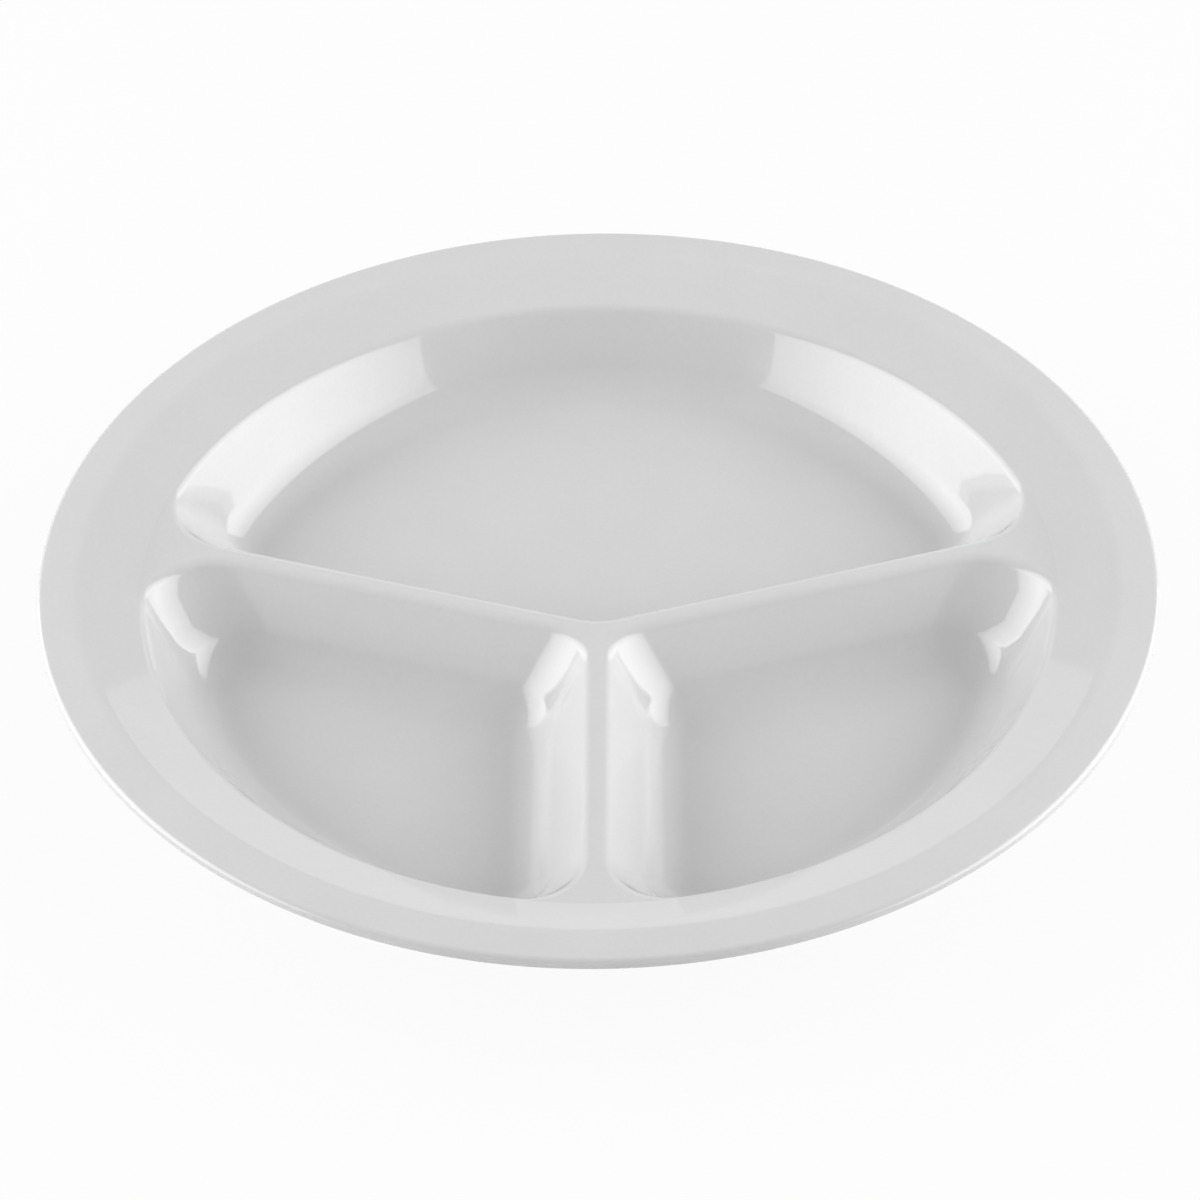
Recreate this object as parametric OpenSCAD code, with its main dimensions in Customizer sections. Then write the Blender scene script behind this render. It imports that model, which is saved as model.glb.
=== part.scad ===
// Divided compartment plate: one moulded shell. A stepped rim runs round three
// compartments, and a Y of hollow dividers parts them. The upper and under sides
// are the same lofted skin, drawn twice a wall apart and closed round the rim.
// Millimetres, +Z up, origin on the table under the middle of the rim.

/* [Rim] */
// Diameter over the rim
plate_d = 260; // [240:1:300]
// Width of the flat outer band
band_w = 9.7; // [6:0.1:13]
// Width of the sloped band inside it
slope_w = 14.4; // [10:0.1:17]
// Drop of the sloped band to the mouths of the compartments
slope_drop = 6.1; // [4:0.1:8]
// Radius that eases the crease between the two bands
crease_round = 8; // [4:0.5:12]

/* [Shell] */
// Thickness of the shell, rim and floors
wall = 3; // [2.2:0.1:3.4]
// Flat width at the top of the hollow under a divider
hollow_w = 0.8; // [0.4:0.1:2]
// Radius in the corners on the under side, below the crests and the rim
under_round = 1.5; // [0.8:0.1:2.4]

/* [Compartments] */
// Depth from the crest of the dividers to the floors
depth = 18.5; // [16:0.1:22]
// Lean of every wall away from upright, in degrees
draft = 31; // [27:0.5:34]
// Radius over the edge of a mouth
mouth_round = 3.8; // [2:0.1:4.4]
// Radius where a wall runs out into the floor
floor_round = 12.5; // [8:0.1:13]
// Corner radius of the large compartment at the junction
large_corner_r = 14; // [12:0.5:20]
// Corner radius of the small compartments at the junction
small_corner_r = 12.5; // [11.5:0.5:15]
// Corner radius at the outer end of the two arms
arm_end_r = 15; // [12:0.5:18]
// Corner radius at the outer end of the front divider
front_end_r = 12.5; // [11.5:0.5:16]

/* [Dividers] */
// Flat width along the crest, between its rounded edges
crest_w = 0.4; // [0.4:0.1:3]
// Distance of the junction in front of the rim's middle
junction_forward = 16.8; // [8:0.1:24]
// Angle of the two arms behind a straight line across, in degrees
arm_angle = 17.6; // [10:0.1:24]

/* [Foot] */
// Height of the foot under each compartment
foot_h = 1.4; // [0.8:0.1:2]
// Width of the foot's resting face
foot_w = 3; // [2:0.1:4]
// Distance of the foot's outer face outside the edge of the flat floor
foot_out = 3.4; // [2.5:0.1:4]
// Run of the foot's sloping faces
foot_taper = 0.5; // [0.2:0.1:0.8]

/* [Hidden] */

// Steps along each corner, across a divider and round each curve of a section
corner_steps = 6;
web_steps = 4;
mouth_steps = 4;
floor_steps = 5;
under_steps = 3;
base_steps = 4;
crease_steps = 3;
edge_steps = 8;
// Largest angle of one step along the outer walls
arc_step = 3.8;
// Share of an end corner that still follows the flat crest
flat_corner_share = 0.35;
// Least radius that a plan corner keeps
least_corner_r = 0.5;

// Heights
rim_z = foot_h + wall + depth + slope_drop;
crest_z = rim_z - slope_drop;
floor_z = foot_h + wall;

// Radii from the middle of the rim
rim_rad = plate_d / 2;
crease_rad = rim_rad - band_w;
mouth_rad = crease_rad - slope_w;
slope_angle = atan(slope_drop / slope_w);

// Section of a wall. Insets count from where the straight wall would meet the crest.
steep = 90 - draft;
floor_edge = depth * tan(draft) + floor_round * tan(steep / 2);
// Wall thickness measured level, and half the divider where its straight walls meet the crest
level_wall = wall / cos(draft);
crest_half = crest_w / 2 + mouth_round * tan(steep / 2);

// Plan. Compartment c lies between divider c and the next one, counter-clockwise.
heading = [arm_angle, 180 - arm_angle, 270];
junction = [0, -junction_forward];
inner_r = [large_corner_r, small_corner_r, small_corner_r];
end_r = [arm_end_r, arm_end_r, front_end_r];

function next(c) = (c + 1) % 3;
function before(c) = (c + 2) % 3;
function dir(a) = [cos(a), sin(a)];
function left_of(v) = [-v[1], v[0]];
function mix(a, b, f) = a + (b - a) * f;
function eased(x) = let (u = min(max(x, 0), 1)) u * u * (3 - 2 * u);
function near_angle(v, ref) = ref + (atan2(v[1], v[0]) - ref + 900) % 360 - 180;
// Heading of the divider that ends compartment c, kept above the one that starts it
function far_heading(c) = heading[next(c)] + (next(c) == 0 ? 360 : 0);

// Corner circles, as [centre, radius], at an inset and with the corner radius changed by grow
function junction_corner(c, inset, grow) =
    let (
        r = max(inner_r[c] + grow, least_corner_r),
        middle = (heading[c] + far_heading(c)) / 2,
        reach = (crest_half + inset + r) / sin(middle - heading[c])
    )
    [junction + reach * dir(middle), r];
function end_corner(d, side, inset, grow) =
    let (
        r = max(end_r[d] + grow, least_corner_r),
        along = dir(heading[d]),
        start = junction + (crest_half + inset + r) * side * left_of(along),
        reach = mouth_rad - inset - r,
        run = sqrt(reach * reach - start * start + (start * along) * (start * along)) - start * along
    )
    [start + run * along, r];

// Stations round a compartment, as [stretch, share]: 0 is the junction corner,
// 1 the corner that starts the outer wall, 2 the outer wall, 3 the corner that ends it
arc_steps = [for (c = [0:2]) ceil((far_heading(c) - heading[c]) / arc_step)];
corner_shares = [for (k = [0:corner_steps]) k / corner_steps];
stations = [for (c = [0:2]) concat(
    [for (f = corner_shares) [0, f]],
    [for (f = corner_shares) [1, f]],
    [for (k = [1:arc_steps[c] - 1]) [2, k / arc_steps[c]]],
    [for (f = corner_shares) [3, f]])];
counts = [for (c = [0:2]) len(stations[c])];

function plan_point(c, station, inset, grow) =
    let (
        f = station[1],
        a = heading[c],
        b = far_heading(c),
        first = end_corner(c, 1, inset, grow),
        last = end_corner(next(c), -1, inset, grow),
        first_a = near_angle(first[0], a),
        last_a = near_angle(last[0], b),
        inner = junction_corner(c, inset, grow)
    )
    station[0] == 0 ? inner[0] + inner[1] * dir(mix(b + 90, a + 270, f)) :
    station[0] == 1 ? first[0] + first[1] * dir(mix(a - 90, first_a, f)) :
    station[0] == 2 ? (mouth_rad - inset) * dir(mix(first_a, last_a, f)) :
    last[0] + last[1] * dir(mix(last_a, b + 90, f));

// Share of the rim's slope that leads into the mouth: none along the dividers, all on the outer wall
function lead_share(station) =
    station[0] == 0 ? 0 :
    station[0] == 2 ? 1 :
    let (f = station[0] == 1 ? station[1] : 1 - station[1])
    eased((f - flat_corner_share) / (1 - flat_corner_share));

// Curve that turns from a surface leaning by lean into the wall, round a sharp corner point
function edge_curve(corner, lean, r, steps) =
    let (
        turn = steep - lean,
        tangent = r * tan(turn / 2),
        start = corner + tangent * [-cos(lean), sin(lean)]
    )
    [for (k = [0:steps]) let (a = lean + turn * k / steps)
        start + r * [sin(a) - sin(lean), cos(a) - cos(lean)]];
// Curve that turns from the wall into the floor, stopping at a last slope
function floor_curve(r, last, steps) =
    [for (k = [0:steps]) let (a = mix(steep, last, k / steps))
        [floor_edge - r * sin(a), floor_z + floor_round - r * cos(a)]];
// A section's points as [inset, height, change of corner radius]
function with_corners(top, bottom, grow) = concat(
    [for (p = top) [p[0], p[1], grow + top[len(top) - 1][0] - p[0]]],
    [for (p = bottom) [p[0], p[1], grow + bottom[0][0] - p[0]]]);

// Section of the upper side, from a mouth down to the floor
function upper_section(lead) = with_corners(
    edge_curve([0, crest_z], lead * slope_angle, mouth_round, mouth_steps),
    floor_curve(floor_round, 0, floor_steps), 0);

// Section of the under side: the wall's thickness away, then down over the foot
under_crest_inset = hollow_w / 2 + under_round * tan(steep / 2) - crest_half;
under_crest = [under_crest_inset, crest_z - (under_crest_inset + level_wall) / tan(draft)];
level_step = wall / cos(slope_angle);
under_rim_inset = (level_step * tan(draft) - level_wall) / (1 - tan(slope_angle) * tan(draft));
under_rim = [under_rim_inset, crest_z - under_rim_inset * tan(slope_angle) - level_step];
foot_edge = floor_edge - foot_out;
foot_slope = asin(foot_out / (floor_round + wall));
foot_section = [
    [foot_edge + foot_taper, 0],
    [foot_edge + foot_taper + foot_w, 0],
    [foot_edge + foot_taper + foot_w + foot_taper, foot_h]];
function under_section(lead) = with_corners(
    edge_curve(mix(under_crest, under_rim, lead), lead * slope_angle, under_round, under_steps),
    concat(floor_curve(floor_round + wall, foot_slope, base_steps), foot_section), level_wall);

// Section of the rim from the upper mouths out round the edge and back below, as [radius, height]
crease_mid = [crease_rad + crease_round * tan(slope_angle / 2), rim_z - crease_round];
edge_mid = [rim_rad - wall / 2, rim_z - wall / 2];
rim_section = concat(
    [for (k = [crease_steps:-1:0]) let (a = slope_angle * k / crease_steps)
        crease_mid + crease_round * [-sin(a), cos(a)]],
    [for (k = [0:edge_steps]) edge_mid + wall / 2 * dir(90 - 180 * k / edge_steps)],
    [for (k = [0:crease_steps]) let (a = slope_angle * k / crease_steps)
        crease_mid + (crease_round - wall) * [-sin(a), cos(a)]]);

// One skin of the shell. Its points are the rings of the three compartments, the middle of
// each floor, the webs along the crests and the hub where the crests meet.
web_rows = corner_steps + 1;
function section(upper, lead) = upper ? upper_section(lead) : under_section(lead);
function compartment_rings(c, upper) =
    let (sections = [for (s = stations[c]) section(upper, lead_share(s))])
    [for (j = [0:len(sections[0]) - 1])
        [for (i = [0:counts[c] - 1]) let (p = sections[i][j])
            concat(plan_point(c, stations[c][i], p[0], p[2]), p[1])]];
function middle_of(ring) = [for (p = ring) 1] * ring / len(ring);

// Rows across divider d, from the hub out to the rim, bowed to meet the rim's circle
function web_points(d, rings) =
    let (
        left = rings[d][0],
        right = rings[before(d)][0],
        n = len(right),
        a_end = left[corner_steps + web_rows],
        b_end = right[n - web_rows],
        a_angle = near_angle(a_end, heading[d]),
        b_angle = near_angle(b_end, heading[d]),
        rad = norm([a_end[0], a_end[1]])
    )
    [for (k = [0:web_rows])
        let (
            a = left[corner_steps + k],
            b = right[(n - k) % n],
            width_share = norm(b - a) / norm(b_end - a_end)
        )
        for (m = [1:web_steps - 1])
            let (
                f = m / web_steps,
                bow = concat(rad * dir(mix(a_angle, b_angle, f)), a_end[2]) - mix(a_end, b_end, f)
            )
            mix(a, b, f) + width_share * width_share * bow];

function skin_points(rings) = concat(
    [for (c = [0:2]) for (ring = rings[c]) each ring],
    [for (c = [0:2]) middle_of(rings[c][len(rings[c]) - 1])],
    [for (d = [0:2]) each web_points(d, rings)],
    [concat(junction, rings[0][0][0][2])]);

// Places of those points in the list, for a skin of some levels that starts at base
function ring_start(c, levels) = c == 0 ? 0 : ring_start(c - 1, levels) + levels * counts[c - 1];
function ring_at(base, levels, c, j, i) = base + ring_start(c, levels) + j * counts[c] + i % counts[c];
function middle_at(base, levels, c) = base + ring_start(3, levels) + c;
function web_at(base, levels, d, k, m) =
    m == 0 ? ring_at(base, levels, d, 0, corner_steps + k) :
    m == web_steps ? ring_at(base, levels, before(d), 0, counts[before(d)] - k) :
    middle_at(base, levels, 3) + (d * (web_rows + 1) + k) * (web_steps - 1) + m - 1;
function hub_at(base, levels) = web_at(base, levels, 3, 0, 1);
// Loop of points round the rim's inner edge, and loop round the hub
function mouth_loop(base, levels) = [for (c = [0:2]) each concat(
    [for (i = [corner_steps + web_rows:counts[c] - web_rows]) ring_at(base, levels, c, 0, i)],
    [for (m = [web_steps - 1:-1:1]) web_at(base, levels, next(c), web_rows, m)])];
function hub_loop(base, levels) = [for (c = [0:2]) each concat(
    [for (i = [corner_steps:-1:0]) ring_at(base, levels, c, 0, i)],
    [for (m = [web_steps - 1:-1:1]) web_at(base, levels, next(c), 0, m)])];

// Faces run clockwise seen from above
function quad(a, b, c, d) = [[a, b, c], [a, c, d]];
function flipped(faces) = [for (f = faces) [f[2], f[1], f[0]]];
function fan(middle, loop) = [for (i = [0:len(loop) - 1]) [middle, loop[(i + 1) % len(loop)], loop[i]]];
function skin_faces(base, levels) = concat(
    [for (c = [0:2]) for (j = [0:levels - 2]) for (i = [0:counts[c] - 1]) each quad(
        ring_at(base, levels, c, j, i), ring_at(base, levels, c, j + 1, i),
        ring_at(base, levels, c, j + 1, i + 1), ring_at(base, levels, c, j, i + 1))],
    [for (c = [0:2]) each fan(middle_at(base, levels, c),
        [for (i = [0:counts[c] - 1]) ring_at(base, levels, c, levels - 1, i)])],
    [for (d = [0:2]) for (k = [0:web_rows - 1]) for (m = [0:web_steps - 1]) each quad(
        web_at(base, levels, d, k, m), web_at(base, levels, d, k + 1, m),
        web_at(base, levels, d, k + 1, m + 1), web_at(base, levels, d, k, m + 1))],
    fan(hub_at(base, levels), hub_loop(base, levels)));

// The rim's rings, turned step by step from the upper mouth loop to the under one
function rim_points(upper_loop, under_loop) =
    [for (l = [0:len(rim_section) - 1]) for (q = [0:len(upper_loop) - 1])
        let (
            a = near_angle(upper_loop[q], 0),
            b = near_angle(under_loop[q], a),
            turn = mix(a, b, (l + 1) / (len(rim_section) + 1))
        )
        concat(rim_section[l][0] * dir(turn), rim_section[l][1])];
function rim_faces(loops) =
    let (n = len(loops[0]))
    [for (l = [0:len(loops) - 2]) for (q = [0:n - 1]) each quad(
        loops[l][q], loops[l][(q + 1) % n], loops[l + 1][(q + 1) % n], loops[l + 1][q])];

module plate() {
    upper_rings = [for (c = [0:2]) compartment_rings(c, true)];
    under_rings = [for (c = [0:2]) compartment_rings(c, false)];
    upper = skin_points(upper_rings);
    under = skin_points(under_rings);
    upper_levels = len(upper_rings[0]);
    under_levels = len(under_rings[0]);
    under_start = len(upper);
    rim_start = under_start + len(under);
    upper_loop = mouth_loop(0, upper_levels);
    under_loop = mouth_loop(under_start, under_levels);
    n = len(upper_loop);
    rim_loops = [for (l = [0:len(rim_section) - 1]) [for (q = [0:n - 1]) rim_start + l * n + q]];
    both = concat(upper, under);
    rim = rim_points([for (i = upper_loop) both[i]], [for (i = under_loop) both[i]]);
    color("gainsboro") polyhedron(
        points = concat(both, rim),
        faces = concat(
            skin_faces(0, upper_levels),
            flipped(skin_faces(under_start, under_levels)),
            rim_faces(concat([upper_loop], rim_loops, [under_loop]))),
        convexity = 8);
}

plate();
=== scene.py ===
from math import asin, atan, atan2, ceil, cos, hypot, pi, radians, sin, sqrt, tan

import bpy
from mathutils import Matrix, Vector


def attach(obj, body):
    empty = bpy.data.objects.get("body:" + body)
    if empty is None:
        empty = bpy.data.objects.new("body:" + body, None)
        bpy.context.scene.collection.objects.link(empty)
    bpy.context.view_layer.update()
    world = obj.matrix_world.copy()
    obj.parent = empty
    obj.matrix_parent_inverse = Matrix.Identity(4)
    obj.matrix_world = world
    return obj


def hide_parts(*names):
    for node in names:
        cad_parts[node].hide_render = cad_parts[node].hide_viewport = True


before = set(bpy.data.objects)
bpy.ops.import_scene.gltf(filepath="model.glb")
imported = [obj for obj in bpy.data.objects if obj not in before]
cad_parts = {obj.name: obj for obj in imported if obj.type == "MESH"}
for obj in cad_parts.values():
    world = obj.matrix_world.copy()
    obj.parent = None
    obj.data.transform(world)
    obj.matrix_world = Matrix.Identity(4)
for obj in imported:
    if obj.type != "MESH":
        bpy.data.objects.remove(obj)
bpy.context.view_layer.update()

# Divided compartment plate: one glossy moulded shell, lofted finely from the same sizes as its solid.

MM = 0.001

# Rim
PLATE_D = 260 * MM
BAND_W = 9.7 * MM
SLOPE_W = 14.4 * MM
SLOPE_DROP = 6.1 * MM
CREASE_ROUND = 8 * MM

# Shell
WALL = 3 * MM
HOLLOW_W = 0.8 * MM
UNDER_ROUND = 1.5 * MM

# Compartments
DEPTH = 18.5 * MM
DRAFT = radians(31)
MOUTH_ROUND = 3.8 * MM
FLOOR_ROUND = 12.5 * MM
LARGE_CORNER_R = 14 * MM
SMALL_CORNER_R = 12.5 * MM
ARM_END_R = 15 * MM
FRONT_END_R = 12.5 * MM

# Dividers
CREST_W = 0.4 * MM
JUNCTION_FORWARD = 16.8 * MM
ARM_ANGLE = radians(17.6)

# Foot
FOOT_H = 1.4 * MM
FOOT_W = 3 * MM
FOOT_OUT = 3.4 * MM
FOOT_TAPER = 0.5 * MM
FOOT_EDGE_R = 0.3 * MM
# How far the middle of a softened corner stands out from its chord towards the sharp corner
EDGE_FULLNESS = 0.5

# Ground edge: the flat left round the rim where the mould's seam was taken off
LAND_H = 1.0 * MM
LAND_EDGE_R = 0.06 * MM

# Finish: counts are per metre, and a spread is the part of a noise that a change runs over
RESIN_IOR = 1.56
GLOSS_TONES = ((0.65, 0.65, 0.65, 1), (0.67, 0.67, 0.67, 1))
GLOSS_ROUGHNESS = (0.03, 0.05)
BUFFED_TONES = ((0.66, 0.66, 0.66, 1), (0.70, 0.70, 0.70, 1))
BUFFED_ROUGHNESS = (0.28, 0.42)
NOISE_MIDDLE = 0.5
TONE_PATCHES = 55.0
TONE_GRAINS = 900.0
CLOUD_PATCHES = 90.0
CLOUD_GRAINS = 400.0
MOTTLE_SPREAD = (0.3, 0.7)
SPECK_COLOUR = (0.16, 0.16, 0.15, 1)
SPECK_CELLS = 24.0
SPECK_CELL_SHARE = 0.1
SPECK_SIZE_IN_CELLS = 0.006
HAIRLINES = 9.0
HAIRLINE_PATCHES = 14.0
HAIRLINE_PATCH_SPREAD = (0.52, 0.66)
HAIRLINE_TURNS = (radians(20), radians(75), radians(140))
HAIRLINE_STRETCH = (1, 40, 1)
HAIRLINE_WIDTH = 0.012
HAIRLINE_DEPTH = 0.0006 * MM
GLOSS_WEAR = 0.04
BUFFED_WEAR = 0.1
RIPPLES = 140.0
RIPPLE_HEIGHT = 0.008 * MM
BUFFING_STRETCH = (1, 1, 14)
BUFFING_LINES = 400.0
BUFFING_HEIGHT = 0.02 * MM

# Steps along each corner, across a divider and round each curve of a section
CORNER_STEPS = 16
WEB_STEPS = 10
MOUTH_STEPS = 20
WALL_STEPS = 4
FLOOR_STEPS = 12
UNDER_STEPS = 5
BASE_STEPS = 9
CREASE_STEPS = 8
EDGE_STEPS = 8
BAND_STEPS = 3
ARC_STEP = radians(0.6)
FLAT_CORNER_SHARE = 0.35
LEAST_CORNER_R = 0.5 * MM
LEAST_GAP = 0.001 * MM
# Shares of the way from the middle of a floor to its edge, for the rings that fill it
FLOOR_RING_SHARES = (0.94, 0.8, 0.55, 0.25)

# Heights and radii that follow
RIM_Z = FOOT_H + WALL + DEPTH + SLOPE_DROP
CREST_Z = RIM_Z - SLOPE_DROP
FLOOR_Z = FOOT_H + WALL
RIM_RAD = PLATE_D / 2
CREASE_RAD = RIM_RAD - BAND_W
MOUTH_RAD = CREASE_RAD - SLOPE_W
SLOPE_ANGLE = atan(SLOPE_DROP / SLOPE_W)
STEEP = pi / 2 - DRAFT
FLOOR_EDGE = DEPTH * tan(DRAFT) + FLOOR_ROUND * tan(STEEP / 2)
LEVEL_WALL = WALL / cos(DRAFT)
CREST_HALF = CREST_W / 2 + MOUTH_ROUND * tan(STEEP / 2)

# Plan: compartment c lies between divider c and the next one, counter-clockwise
HEADING = (ARM_ANGLE, pi - ARM_ANGLE, 1.5 * pi)
FAR_HEADING = (HEADING[1], HEADING[2], HEADING[0] + 2 * pi)
JUNCTION = Vector((0, -JUNCTION_FORWARD))
INNER_R = (LARGE_CORNER_R, SMALL_CORNER_R, SMALL_CORNER_R)
END_R = (ARM_END_R, ARM_END_R, FRONT_END_R)


# The shell's plan

def heading_vector(a):
    return Vector((cos(a), sin(a)))


def mix(a, b, f):
    return a + (b - a) * f


def eased(x):
    u = min(max(x, 0), 1)
    return u * u * (3 - 2 * u)


def near_angle(v, ref):
    """Angle of v, taken within half a turn of ref."""
    return ref + (atan2(v[1], v[0]) - ref + pi) % (2 * pi) - pi


def junction_corner(c, inset, grow):
    """Centre and radius of a compartment's corner at the junction."""
    r = max(INNER_R[c] + grow, LEAST_CORNER_R)
    middle = (HEADING[c] + FAR_HEADING[c]) / 2
    reach = (CREST_HALF + inset + r) / sin(middle - HEADING[c])
    return JUNCTION + reach * heading_vector(middle), r


def end_corner(d, side, inset, grow):
    """Centre and radius of the corner where divider d meets the outer wall, on one side of it."""
    r = max(END_R[d] + grow, LEAST_CORNER_R)
    along = heading_vector(HEADING[d])
    start = JUNCTION + (CREST_HALF + inset + r) * side * Vector((-along.y, along.x))
    reach = MOUTH_RAD - inset - r
    run = sqrt(reach ** 2 - start.length_squared + start.dot(along) ** 2) - start.dot(along)
    return start + run * along, r


def stations_round(c):
    """Stations round a compartment, as a stretch and a share of the way along it. Stretch 0 is the
    corner at the junction, 2 is the outer wall, and 1 and 3 are the corners at its ends."""
    steps = ceil((FAR_HEADING[c] - HEADING[c]) / ARC_STEP)
    shares = [k / CORNER_STEPS for k in range(CORNER_STEPS + 1)]
    corners = [[(stretch, f) for f in shares] for stretch in (0, 1, 3)]
    wall = [(2, k / steps) for k in range(1, steps)]
    return corners[0] + corners[1] + wall + corners[2]


def plan_point(c, station, inset, grow):
    stretch, f = station
    a = HEADING[c]
    b = FAR_HEADING[c]
    if stretch == 0:
        centre, r = junction_corner(c, inset, grow)
        return centre + r * heading_vector(mix(b + pi / 2, a + 1.5 * pi, f))
    first, first_r = end_corner(c, 1, inset, grow)
    last, last_r = end_corner((c + 1) % 3, -1, inset, grow)
    first_a = near_angle(first, a)
    last_a = near_angle(last, b)
    if stretch == 1:
        return first + first_r * heading_vector(mix(a - pi / 2, first_a, f))
    if stretch == 2:
        return (MOUTH_RAD - inset) * heading_vector(mix(first_a, last_a, f))
    return last + last_r * heading_vector(mix(last_a, b + pi / 2, f))


def lead_share(station):
    """Share of the rim's slope that leads into the mouth: none at a divider, all on the outer wall."""
    stretch, f = station
    if stretch == 0:
        return 0
    if stretch == 2:
        return 1
    f = f if stretch == 1 else 1 - f
    return eased((f - FLAT_CORNER_SHARE) / (1 - FLAT_CORNER_SHARE))


# The shell's sections, as points (inset, height)

def edge_curve(corner, lean, r, steps):
    """Curve from a surface leaning by lean into the wall, round a sharp corner point."""
    turn = STEEP - lean
    tangent = r * tan(turn / 2)
    start = Vector(corner) + tangent * Vector((-cos(lean), sin(lean)))
    angles = [lean + turn * k / steps for k in range(steps + 1)]
    return [start + r * Vector((sin(a) - sin(lean), cos(a) - cos(lean))) for a in angles]


def floor_curve(r, last, steps):
    """Curve from the wall into the floor, stopping at a last slope."""
    angles = [mix(STEEP, last, k / steps) for k in range(steps + 1)]
    return [Vector((FLOOR_EDGE - r * sin(a), FLOOR_Z + FLOOR_ROUND - r * cos(a))) for a in angles]


def between(a, b, steps):
    """Points strictly between a and b."""
    return [mix(a, b, k / steps) for k in range(1, steps)]


def softened(points, r):
    """A polyline with each inner corner cut back by r, so that it reads as rounded."""
    out = [points[0]]
    for before, here, after in zip(points, points[1:], points[2:]):
        into = (here - before).normalized()
        onward = (after - here).normalized()
        start = here - into * r
        end = here + onward * r
        out += [start, mix((start + end) / 2, here, EDGE_FULLNESS), end]
    return out + [points[-1]]


def section(top, bottom, grow):
    """Joins the two curves of a section into (inset, height, change of corner radius)."""
    wall = between(top[-1], bottom[0], WALL_STEPS)
    out = [(p.x, p.y, grow + top[-1].x - p.x) for p in top]
    out += [(p.x, p.y, grow) for p in wall]
    return out + [(p.x, p.y, grow + bottom[0].x - p.x) for p in bottom]


def upper_section(lead):
    top = edge_curve((0, CREST_Z), lead * SLOPE_ANGLE, MOUTH_ROUND, MOUTH_STEPS)
    return section(top, floor_curve(FLOOR_ROUND, 0, FLOOR_STEPS), 0)


def under_section(lead):
    crest_inset = HOLLOW_W / 2 + UNDER_ROUND * tan(STEEP / 2) - CREST_HALF
    crest = Vector((crest_inset, CREST_Z - (crest_inset + LEVEL_WALL) / tan(DRAFT)))
    step = WALL / cos(SLOPE_ANGLE)
    rim_inset = (step * tan(DRAFT) - LEVEL_WALL) / (1 - tan(SLOPE_ANGLE) * tan(DRAFT))
    rim = Vector((rim_inset, CREST_Z - rim_inset * tan(SLOPE_ANGLE) - step))
    top = edge_curve(mix(crest, rim, lead), lead * SLOPE_ANGLE, UNDER_ROUND, UNDER_STEPS)
    base = floor_curve(FLOOR_ROUND + WALL, asin(FOOT_OUT / (FLOOR_ROUND + WALL)), BASE_STEPS)
    outer = FLOOR_EDGE - FOOT_OUT + FOOT_TAPER
    inner = outer + FOOT_W
    foot = [base[-1], Vector((outer, 0)), Vector((inner, 0)), Vector((inner + FOOT_TAPER, FOOT_H)),
            Vector((inner + 2 * FOOT_TAPER, FOOT_H))]
    return section(top, base[:-1] + softened(foot, FOOT_EDGE_R), LEVEL_WALL)


def rim_section():
    """Section of the rim as (radius, height), from the upper mouths round the edge to the lower."""
    crease = Vector((CREASE_RAD + CREASE_ROUND * tan(SLOPE_ANGLE / 2), RIM_Z - CREASE_ROUND))
    edge = Vector((RIM_RAD - WALL / 2, RIM_Z - WALL / 2))
    lean = [SLOPE_ANGLE * k / CREASE_STEPS for k in range(CREASE_STEPS + 1)]
    upper = [crease + CREASE_ROUND * Vector((-sin(a), cos(a))) for a in reversed(lean)]
    under = [crease + (CREASE_ROUND - WALL) * Vector((-sin(a), cos(a))) for a in lean]
    stop = asin(LAND_H / WALL)
    turns = [mix(pi / 2, stop, k / EDGE_STEPS) for k in range(EDGE_STEPS + 1)]
    lip = [edge + WALL / 2 * heading_vector(a) for a in turns]
    lip += [lip[-1] - Vector((0, LAND_EDGE_R)), lip[-1] - Vector((0, LAND_H - LAND_EDGE_R))]
    lip += [edge + WALL / 2 * heading_vector(-a) for a in reversed(turns)]
    upper += between(upper[-1], lip[0], BAND_STEPS)
    return upper + lip + between(lip[-1], under[0], BAND_STEPS) + under


# The shell's mesh

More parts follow.
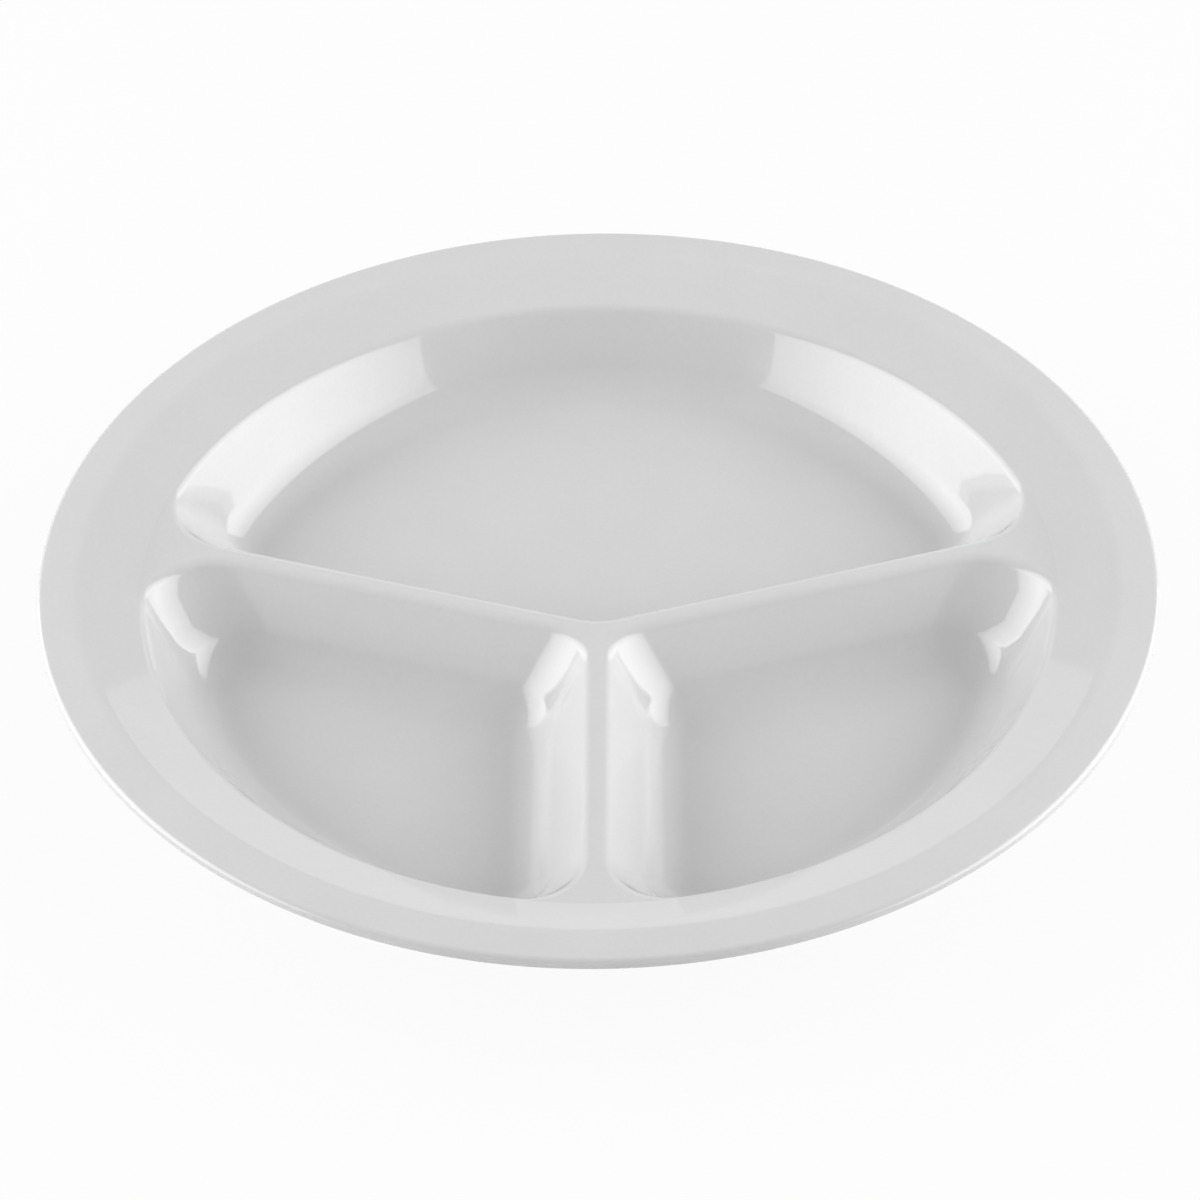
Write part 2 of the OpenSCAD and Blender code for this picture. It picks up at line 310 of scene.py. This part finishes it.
class Skin:
    """One side of the shell: rings down each compartment, webs along the crests and a hub."""

    def __init__(self, points, section_at):
        self.points = points
        self.rings = [self.compartment(c, section_at) for c in range(3)]
        self.webs = [self.web(d) for d in range(3)]
        self.hub_loop = [i for c in range(3) for i in self.hub_side(c)]
        self.hub = self.add((*JUNCTION, points[self.rings[0][0][0]][2]))

    def add(self, p):
        self.points.append(Vector(p))
        return len(self.points) - 1

    def compartment(self, c, section_at):
        stations = stations_round(c)
        sections = [section_at(lead_share(s)) for s in stations]
        rings = []
        for level in zip(*sections):
            ring = []
            for station, (inset, z, grow) in zip(stations, level):
                ring.append(self.add((*plan_point(c, station, inset, grow), z)))
            rings.append(ring)
        edge = [self.points[i] for i in rings[-1]]
        middle = sum(edge, Vector((0, 0, 0))) / len(edge)
        for share in FLOOR_RING_SHARES:
            rings.append([self.add(mix(middle, p, share)) for p in edge])
        rings.append([self.add(middle)])
        return rings

    def web(self, d):
        """Rows of points across divider d, from the hub to the rim, bowed to meet the rim's circle."""
        left = self.rings[d][0][CORNER_STEPS:2 * CORNER_STEPS + 2]
        right = self.rings[(d + 2) % 3][0]
        right = [right[0]] + right[:-CORNER_STEPS - 2:-1]
        a_end = self.points[left[-1]]
        b_end = self.points[right[-1]]
        a_angle = near_angle(a_end, HEADING[d])
        b_angle = near_angle(b_end, HEADING[d])
        rad = hypot(a_end.x, a_end.y)
        rows = []
        for a_index, b_index in zip(left, right):
            a = self.points[a_index]
            b = self.points[b_index]
            width_share = ((b - a).length / (b_end - a_end).length) ** 2
            row = [a_index]
            for m in range(1, WEB_STEPS):
                f = m / WEB_STEPS
                on_circle = Vector((*(rad * heading_vector(mix(a_angle, b_angle, f))), a_end.z))
                row.append(self.add(mix(a, b, f) + width_share * (on_circle - mix(a_end, b_end, f))))
            rows.append(row + [b_index])
        return rows

    def hub_side(self, c):
        """The hub's edge along one compartment and across the divider after it."""
        corner = self.rings[c][0][:CORNER_STEPS + 1]
        return corner[::-1] + self.webs[(c + 1) % 3][0][-2:0:-1]

    def mouth_loop(self):
        """The rim's inner edge, all the way round."""
        loop = []
        for c in range(3):
            ring = self.rings[c][0]
            loop += ring[2 * CORNER_STEPS + 1:len(ring) - CORNER_STEPS]
            loop += self.webs[(c + 1) % 3][-1][-2:0:-1]
        return loop

    def faces(self):
        """Faces that run counter-clockwise seen from above."""
        out = []
        for rings in self.rings:
            for outer, inner in zip(rings[:-1], rings[1:-1]):
                out += bridge(inner, outer)
            out += fan(rings[-1][0], rings[-2])
        for rows in self.webs:
            for near, far in zip(rows, rows[1:]):
                out += [(near[m], near[m + 1], far[m + 1], far[m]) for m in range(WEB_STEPS)]
        return out + fan(self.hub, self.hub_loop)


def bridge(inner, outer):
    """Quads between two closed loops, counter-clockwise from above when outer is the wider."""
    n = len(inner)
    return [(inner[i], outer[i], outer[(i + 1) % n], inner[(i + 1) % n]) for i in range(n)]


def fan(middle, loop):
    n = len(loop)
    return [(middle, loop[i], loop[(i + 1) % n]) for i in range(n)]


def is_buffed(corners):
    """Whether a face lies on the rim's ground edge or on the sole of a foot."""
    land_rad = RIM_RAD - WALL / 2 + sqrt(WALL ** 2 - LAND_H ** 2) / 2
    on_land = all(abs(hypot(p.x, p.y) - land_rad) < LEAST_GAP for p in corners)
    return on_land or all(abs(p.z) < LEAST_GAP for p in corners)


def shell_mesh(name):
    points = []
    upper = Skin(points, upper_section)
    under = Skin(points, under_section)
    start = upper.mouth_loop()
    finish = under.mouth_loop()
    profile = rim_section()
    loops = [start]
    for level, (rad, z) in enumerate(profile, 1):
        loop = []
        for a_index, b_index in zip(start, finish):
            a = near_angle(points[a_index], 0)
            b = near_angle(points[b_index], a)
            turn = mix(a, b, level / (len(profile) + 1))
            points.append(Vector((*(rad * heading_vector(turn)), z)))
            loop.append(len(points) - 1)
        loops.append(loop)
    loops.append(finish)
    faces = upper.faces() + [f[::-1] for f in under.faces()]
    for inner, outer in zip(loops, loops[1:]):
        faces += bridge(inner, outer)
    mesh = bpy.data.meshes.new(name)
    mesh.from_pydata(points, [], faces)
    buffed = [int(is_buffed([points[i] for i in face])) for face in faces]
    mesh.polygons.foreach_set("material_index", buffed)
    mesh.polygons.foreach_set("use_smooth", [True] * len(mesh.polygons))
    mesh.update()
    return mesh


# Materials

VECTOR = "NodeSocketVector"
NUMBER = "NodeSocketFloat"


def new_group(name, inputs, output):
    """A shader node group with one output, and the sockets to join up inside it."""
    group = bpy.data.node_groups.new(name, "ShaderNodeTree")
    for title, kind in inputs.items():
        group.interface.new_socket(title, in_out="INPUT", socket_type=kind)
    group.interface.new_socket(output, in_out="OUTPUT", socket_type=NUMBER)
    inlet = group.nodes.new("NodeGroupInput").outputs
    outlet = group.nodes.new("NodeGroupOutput").inputs[output]
    return group, inlet, outlet


def add_node(tree, kind, inputs, **settings):
    """A node with its settings; each input is another node's output or a plain value."""
    node = tree.nodes.new(kind)
    for key, value in settings.items():
        setattr(node, key, value)
    for key, value in inputs.items():
        if isinstance(value, bpy.types.NodeSocket):
            tree.links.new(value, node.inputs[key])
        else:
            node.inputs[key].default_value = value
    return node


def noise(tree, position, scale, detail):
    inputs = {"Vector": position, "Scale": scale, "Detail": detail}
    return add_node(tree, "ShaderNodeTexNoise", inputs).outputs[0]


def fade(tree, value, start, end, low=0.0, high=1.0):
    """Eases from low to high as a value goes from start to end."""
    inputs = {"Value": value, "From Min": start, "From Max": end, "To Min": low, "To Max": high}
    node = add_node(tree, "ShaderNodeMapRange", inputs, interpolation_type="SMOOTHSTEP")
    return node.outputs["Result"]


def maths(tree, operation, first, second):
    node = add_node(tree, "ShaderNodeMath", {0: first, 1: second}, operation=operation)
    return node.outputs["Value"]


def stretched(tree, position, factors, turn=0.0):
    inputs = {"Vector": position, "Scale": factors, "Rotation": (0, 0, turn)}
    return add_node(tree, "ShaderNodeMapping", inputs).outputs["Vector"]


def mottle_group():
    """Cloudiness of pressed resin: broad patches with fine grain in them, about one half on average."""
    inputs = {"Position": VECTOR, "Patches per Metre": NUMBER, "Grains per Metre": NUMBER}
    group, inlet, outlet = new_group("pressed_resin_mottle", inputs, "Tone")
    broad = noise(group, inlet["Position"], inlet["Patches per Metre"], detail=3.0)
    fine = noise(group, inlet["Position"], inlet["Grains per Metre"], detail=2.0)
    both = maths(group, "ADD", broad, fine)
    group.links.new(maths(group, "MULTIPLY", both, 0.5), outlet)
    return group


def speck_group():
    """Stray dark specks in the resin: a few small dots, far apart."""
    inputs = {"Position": VECTOR, "Cells per Metre": NUMBER}
    inputs |= {"Share of Cells": NUMBER, "Size in Cells": NUMBER}
    group, inlet, outlet = new_group("stray_specks", inputs, "Mask")
    flat = stretched(group, inlet["Position"], (1, 1, 0))
    inputs = {"Vector": flat, "Scale": inlet["Cells per Metre"]}
    cells = add_node(group, "ShaderNodeTexVoronoi", inputs).outputs
    draw = add_node(group, "ShaderNodeSeparateColor", {"Color": cells["Color"]}).outputs["Red"]
    chosen = maths(group, "LESS_THAN", draw, inlet["Share of Cells"])
    near = maths(group, "LESS_THAN", cells["Distance"], inlet["Size in Cells"])
    group.links.new(maths(group, "MULTIPLY", chosen, near), outlet)
    return group


def hairline_group():
    """Fine hairlines left by wiping and stacking, in patches and in a few directions."""
    inputs = {"Position": VECTOR, "Lines per Metre": NUMBER, "Patches per Metre": NUMBER}
    group, inlet, outlet = new_group("wiping_hairlines", inputs, "Mask")
    lines = 0.0
    for turn in HAIRLINE_TURNS:
        along = stretched(group, inlet["Position"], HAIRLINE_STRETCH, turn)
        field = noise(group, along, inlet["Lines per Metre"], detail=0.0)
        off_line = maths(group, "ABSOLUTE", maths(group, "SUBTRACT", field, NOISE_MIDDLE), 0.0)
        line = fade(group, off_line, 0.0, HAIRLINE_WIDTH, 1.0, 0.0)
        cover = noise(group, along, inlet["Patches per Metre"], detail=1.0)
        patch = fade(group, cover, *HAIRLINE_PATCH_SPREAD)
        lines = maths(group, "MAXIMUM", maths(group, "MULTIPLY", line, patch), lines)
    group.links.new(lines, outlet)
    return group


def shared_groups():
    return {"mottle": mottle_group(), "specks": speck_group(), "hairlines": hairline_group()}


def blend_colour(tree, factor, first, second):
    inputs = {0: factor, 6: first, 7: second}
    return add_node(tree, "ShaderNodeMix", inputs, data_type="RGBA").outputs[2]


def resin(name, groups, tones, gloss, wear, relief):
    """Pressed resin. tones and gloss are the ends of its colour and roughness, wear is the roughness
    that a hairline adds, and relief adds the surface's own height in metres to the hairlines'."""
    material = bpy.data.materials.new(name)
    material.use_nodes = True
    tree = material.node_tree
    shader = tree.nodes["Principled BSDF"].inputs
    shader["IOR"].default_value = RESIN_IOR
    position = add_node(tree, "ShaderNodeTexCoord", {}).outputs["Object"]

    def placed(group, **values):
        inputs = {key.replace("_", " "): value for key, value in values.items()}
        inputs["Position"] = position
        return add_node(tree, "ShaderNodeGroup", inputs, node_tree=groups[group]).outputs[0]

    tone = placed("mottle", Patches_per_Metre=TONE_PATCHES, Grains_per_Metre=TONE_GRAINS)
    cloud = placed("mottle", Patches_per_Metre=CLOUD_PATCHES, Grains_per_Metre=CLOUD_GRAINS)
    speck = placed("specks", Cells_per_Metre=SPECK_CELLS, Share_of_Cells=SPECK_CELL_SHARE,
                   Size_in_Cells=SPECK_SIZE_IN_CELLS)
    hairline = placed("hairlines", Lines_per_Metre=HAIRLINES, Patches_per_Metre=HAIRLINE_PATCHES)
    colour = blend_colour(tree, fade(tree, tone, *MOTTLE_SPREAD), tones[0], tones[1])
    tree.links.new(blend_colour(tree, speck, colour, SPECK_COLOUR), shader["Base Color"])
    dull = fade(tree, cloud, *MOTTLE_SPREAD, *gloss)
    worn = maths(tree, "MULTIPLY", hairline, wear)
    tree.links.new(maths(tree, "ADD", dull, worn), shader["Roughness"])
    height = maths(tree, "MULTIPLY", hairline, -HAIRLINE_DEPTH)
    height = maths(tree, "ADD", height, relief(tree, position))
    bump = add_node(tree, "ShaderNodeBump", {"Height": height, "Strength": 1.0, "Distance": 1.0})
    tree.links.new(bump.outputs["Normal"], shader["Normal"])
    return material


def ripple(tree, position):
    """Slight unevenness of a gloss surface pressed in a polished mould."""
    return maths(tree, "MULTIPLY", noise(tree, position, RIPPLES, detail=1.0), RIPPLE_HEIGHT)


def buffing(tree, position):
    """Lines that run round the edge where the mould's seam was ground off and buffed."""
    along = stretched(tree, position, BUFFING_STRETCH)
    return maths(tree, "MULTIPLY", noise(tree, along, BUFFING_LINES, detail=2.0), BUFFING_HEIGHT)


# The plate

plate = bpy.data.objects.new("plate_shell", shell_mesh("plate_shell"))
bpy.context.scene.collection.objects.link(plate)
groups = shared_groups()
melamine = resin("melamine", groups, GLOSS_TONES, GLOSS_ROUGHNESS, GLOSS_WEAR, ripple)
buffed_melamine = resin("melamine_buffed", groups, BUFFED_TONES, BUFFED_ROUGHNESS, BUFFED_WEAR,
                        buffing)
plate.data.materials.append(melamine)
plate.data.materials.append(buffed_melamine)
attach(plate, "root")
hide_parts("plate")


# Stage

FLOOR_RAD = 2.4
SWEEP_R = 0.5
SWEEP_H = 1.2
SWEEP_STEPS = 8
SWEEP_SIDES = 72
FLOOR_COLOUR = (0.72, 0.72, 0.72, 1)
WHITE = (1, 1, 1, 1)
BACKDROP_SHARE = 0.93
PAPER_ROUGHNESS = 0.9


def sweep_material():
    """Pale paper. Seen by the camera or in a gloss, it is mostly white and keeps a faint shadow."""
    material = bpy.data.materials.new("paper_sweep")
    material.use_nodes = True
    tree = material.node_tree
    paper = tree.nodes["Principled BSDF"]
    paper.inputs["Base Color"].default_value = FLOOR_COLOUR
    paper.inputs["Roughness"].default_value = PAPER_ROUGHNESS
    white = add_node(tree, "ShaderNodeEmission", {"Color": WHITE, "Strength": 1.0})
    path = tree.nodes.new("ShaderNodeLightPath").outputs
    seen = maths(tree, "MAXIMUM", path["Is Camera Ray"], path["Is Glossy Ray"])
    seen = maths(tree, "MAXIMUM", seen, path["Is Transmission Ray"])
    share = maths(tree, "MULTIPLY", seen, BACKDROP_SHARE)
    inputs = {0: share, 1: paper.outputs["BSDF"], 2: white.outputs["Emission"]}
    blend = add_node(tree, "ShaderNodeMixShader", inputs)
    tree.links.new(blend.outputs["Shader"], tree.nodes["Material Output"].inputs["Surface"])
    return material


def sweep_mesh():
    """A round floor of paper that curves up into a low wall."""
    turns = [pi / 2 * k / SWEEP_STEPS for k in range(SWEEP_STEPS + 1)]
    profile = [(FLOOR_RAD + SWEEP_R * sin(a), SWEEP_R * (1 - cos(a))) for a in turns]
    profile.append((FLOOR_RAD + SWEEP_R, SWEEP_H))
    points = [Vector((0, 0, 0))]
    loops = []
    for rad, z in profile:
        loops.append(list(range(len(points), len(points) + SWEEP_SIDES)))
        angles = [2 * pi * k / SWEEP_SIDES for k in range(SWEEP_SIDES)]
        points += [Vector((*(rad * heading_vector(a)), z)) for a in angles]
    faces = fan(0, loops[0])
    for inner, outer in zip(loops, loops[1:]):
        faces += bridge(inner, outer)
    mesh = bpy.data.meshes.new("paper_sweep")
    mesh.from_pydata(points, [], faces)
    mesh.polygons.foreach_set("use_smooth", [True] * len(faces))
    return mesh


sweep = bpy.data.objects.new("paper_sweep", sweep_mesh())
bpy.context.scene.collection.objects.link(sweep)
sweep.data.materials.append(sweep_material())


# Light

# One large softbox on each side. Its half sizes are angles seen from the plate. It is brightest out to
# the core, fades to its edge share at the reach, and both are shares of the way to its sides.
BOX_AZIMUTH = radians(1)
BOX_ELEVATION = radians(22)
BOX_ROLL = radians(10)
BOX_DISTANCE = 1.0
BOX_HALF_WIDTH = radians(40)
BOX_HALF_HEIGHT = radians(23)
BOX_RADIANCE = 3.9
BOX_CORE_SHARE = 0.2
BOX_REACH_SHARE = 1.3
BOX_EDGE_SHARE = 0.45
SKY = 0.41


def softbox(name, azimuth, roll):
    """A rectangular lamp that faces the plate. Azimuth runs counter-clockwise from +X."""
    data = bpy.data.lights.new(name, "AREA")
    data.shape = "RECTANGLE"
    data.size = 2 * BOX_DISTANCE * tan(BOX_HALF_WIDTH)
    data.size_y = 2 * BOX_DISTANCE * tan(BOX_HALF_HEIGHT)
    data.energy = BOX_RADIANCE * pi * data.size * data.size_y
    fade_to_edges(data)
    lamp = bpy.data.objects.new(name, data)
    lamp.visible_camera = False
    away = Vector((*(cos(BOX_ELEVATION) * heading_vector(azimuth)), sin(BOX_ELEVATION)))
    place = Vector((0, 0, CREST_Z)) + BOX_DISTANCE * away
    lamp.matrix_world = Matrix.Translation(place) @ facing(away, roll)
    bpy.context.scene.collection.objects.link(lamp)


def fade_to_edges(data):
    """Gives a lamp the bright middle and dimmer edges of a cloth-fronted box."""
    data.use_nodes = True
    tree = data.node_tree
    spot = add_node(tree, "ShaderNodeNewGeometry", {}).outputs["Parametric"]
    # From 0 to 1 across the lamp, made to run from -1 to 1
    inputs = {"Vector": spot, "Location": (-1, -1, 0), "Scale": (2, 2, 0)}
    from_middle = add_node(tree, "ShaderNodeMapping", inputs).outputs["Vector"]
    length = add_node(tree, "ShaderNodeVectorMath", {0: from_middle}, operation="LENGTH")
    reach = length.outputs["Value"]
    strength = fade(tree, reach, BOX_CORE_SHARE, BOX_REACH_SHARE, 1.0, BOX_EDGE_SHARE)
    tree.links.new(strength, tree.nodes["Emission"].inputs["Strength"])


def facing(back, roll):
    """Turn of a lamp or camera whose back points along a direction, rolled about that direction."""
    right = Vector((0, 0, 1)).cross(back).normalized()
    up = back.cross(right)
    level = Matrix((right, up, back)).transposed().to_4x4()
    return level @ Matrix.Rotation(roll, 4, "Z")


softbox("softbox_right", BOX_AZIMUTH, BOX_ROLL)
softbox("softbox_left", pi - BOX_AZIMUTH, -BOX_ROLL)

world = bpy.data.worlds.new("studio")
bpy.context.scene.world = world
world.use_nodes = True
background = world.node_tree.nodes["Background"].inputs
background["Color"].default_value = WHITE
background["Strength"].default_value = SKY


# Camera

CAMERA_DISTANCE = 1.0
CAMERA_ELEVATION = radians(40.27)
CAMERA_AZIMUTH = radians(0.85)
CAMERA_ROLL = radians(0.9)
CAMERA_AIM = Vector((0.0006, -0.0140, RIM_Z))
LENS = 129.2
SENSOR_WIDTH = 36


def place_camera():
    data = bpy.data.cameras.new("camera")
    data.lens = LENS
    data.sensor_width = SENSOR_WIDTH
    data.dof.use_dof = False
    camera = bpy.data.objects.new("camera", data)
    level = cos(CAMERA_ELEVATION)
    away = Vector((sin(CAMERA_AZIMUTH) * level, -cos(CAMERA_AZIMUTH) * level, sin(CAMERA_ELEVATION)))
    place = Vector((0, 0, RIM_Z)) + away * CAMERA_DISTANCE
    back = (place - CAMERA_AIM).normalized()
    camera.matrix_world = Matrix.Translation(place) @ facing(back, -CAMERA_ROLL)
    bpy.context.scene.collection.objects.link(camera)
    bpy.context.scene.camera = camera


place_camera()
bpy.context.scene.view_settings.view_transform = "Standard"
